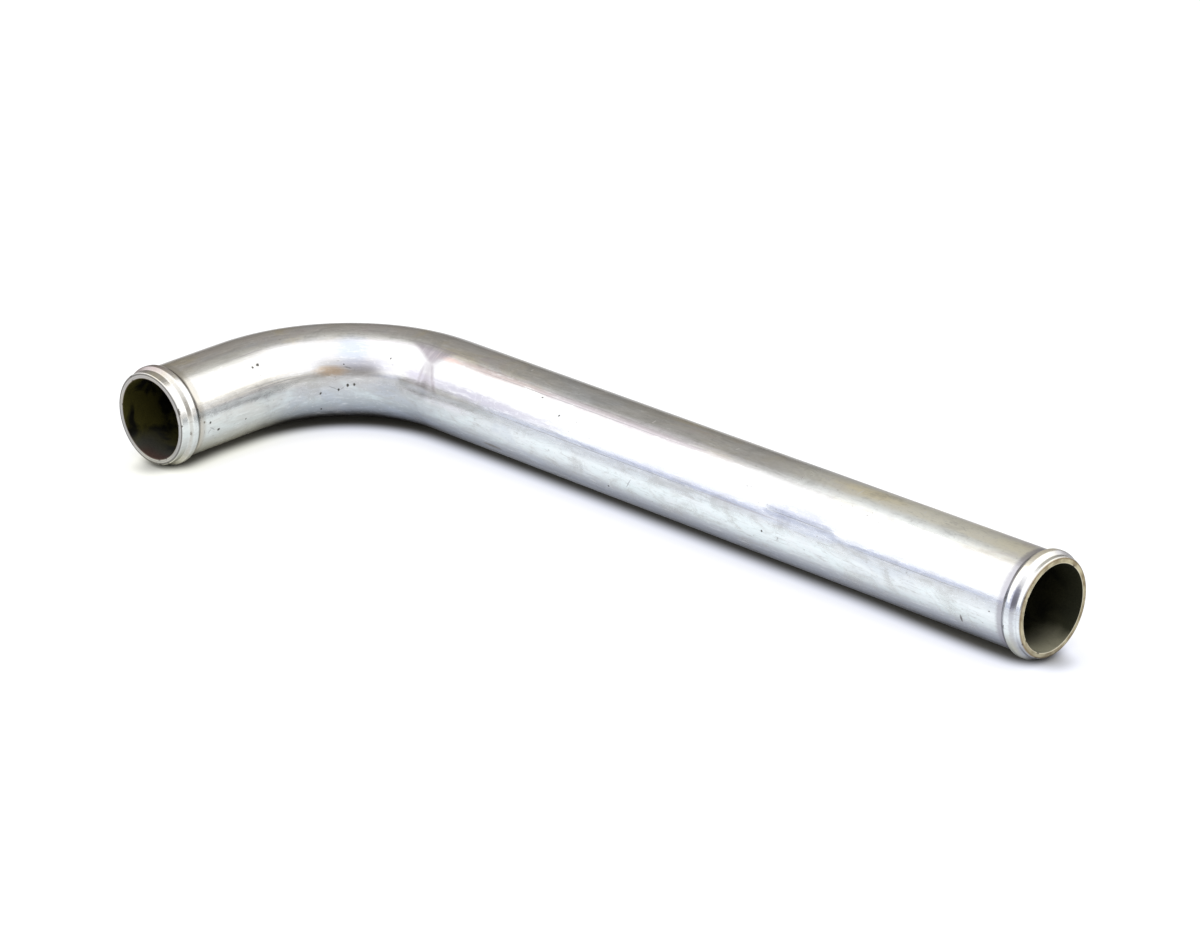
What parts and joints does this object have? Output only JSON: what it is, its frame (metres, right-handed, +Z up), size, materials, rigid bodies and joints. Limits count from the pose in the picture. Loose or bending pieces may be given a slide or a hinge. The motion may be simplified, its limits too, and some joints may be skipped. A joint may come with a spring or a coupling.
{
  "type": "coolant pipe",
  "caption": "Rigid plated steel coolant tube with a long leg, a short leg, a bend of about a right angle between them and a rolled hose bead behind each open mouth.",
  "frame": {"origin": "centre of the pipe's box, on the surface that the pipe lies on", "axes": "+X along the long leg towards its mouth, the short leg's mouth facing -Y, +Z up, square to the plane of the bend"},
  "size_m": [0.3894, 0.1284, 0.0408],
  "materials": {
    "zinc_plated_steel": "zinc plated, satin"
  },
  "bodies": {
    "root": {"pipe": "zinc_plated_steel"}
  },
  "joints": []
}
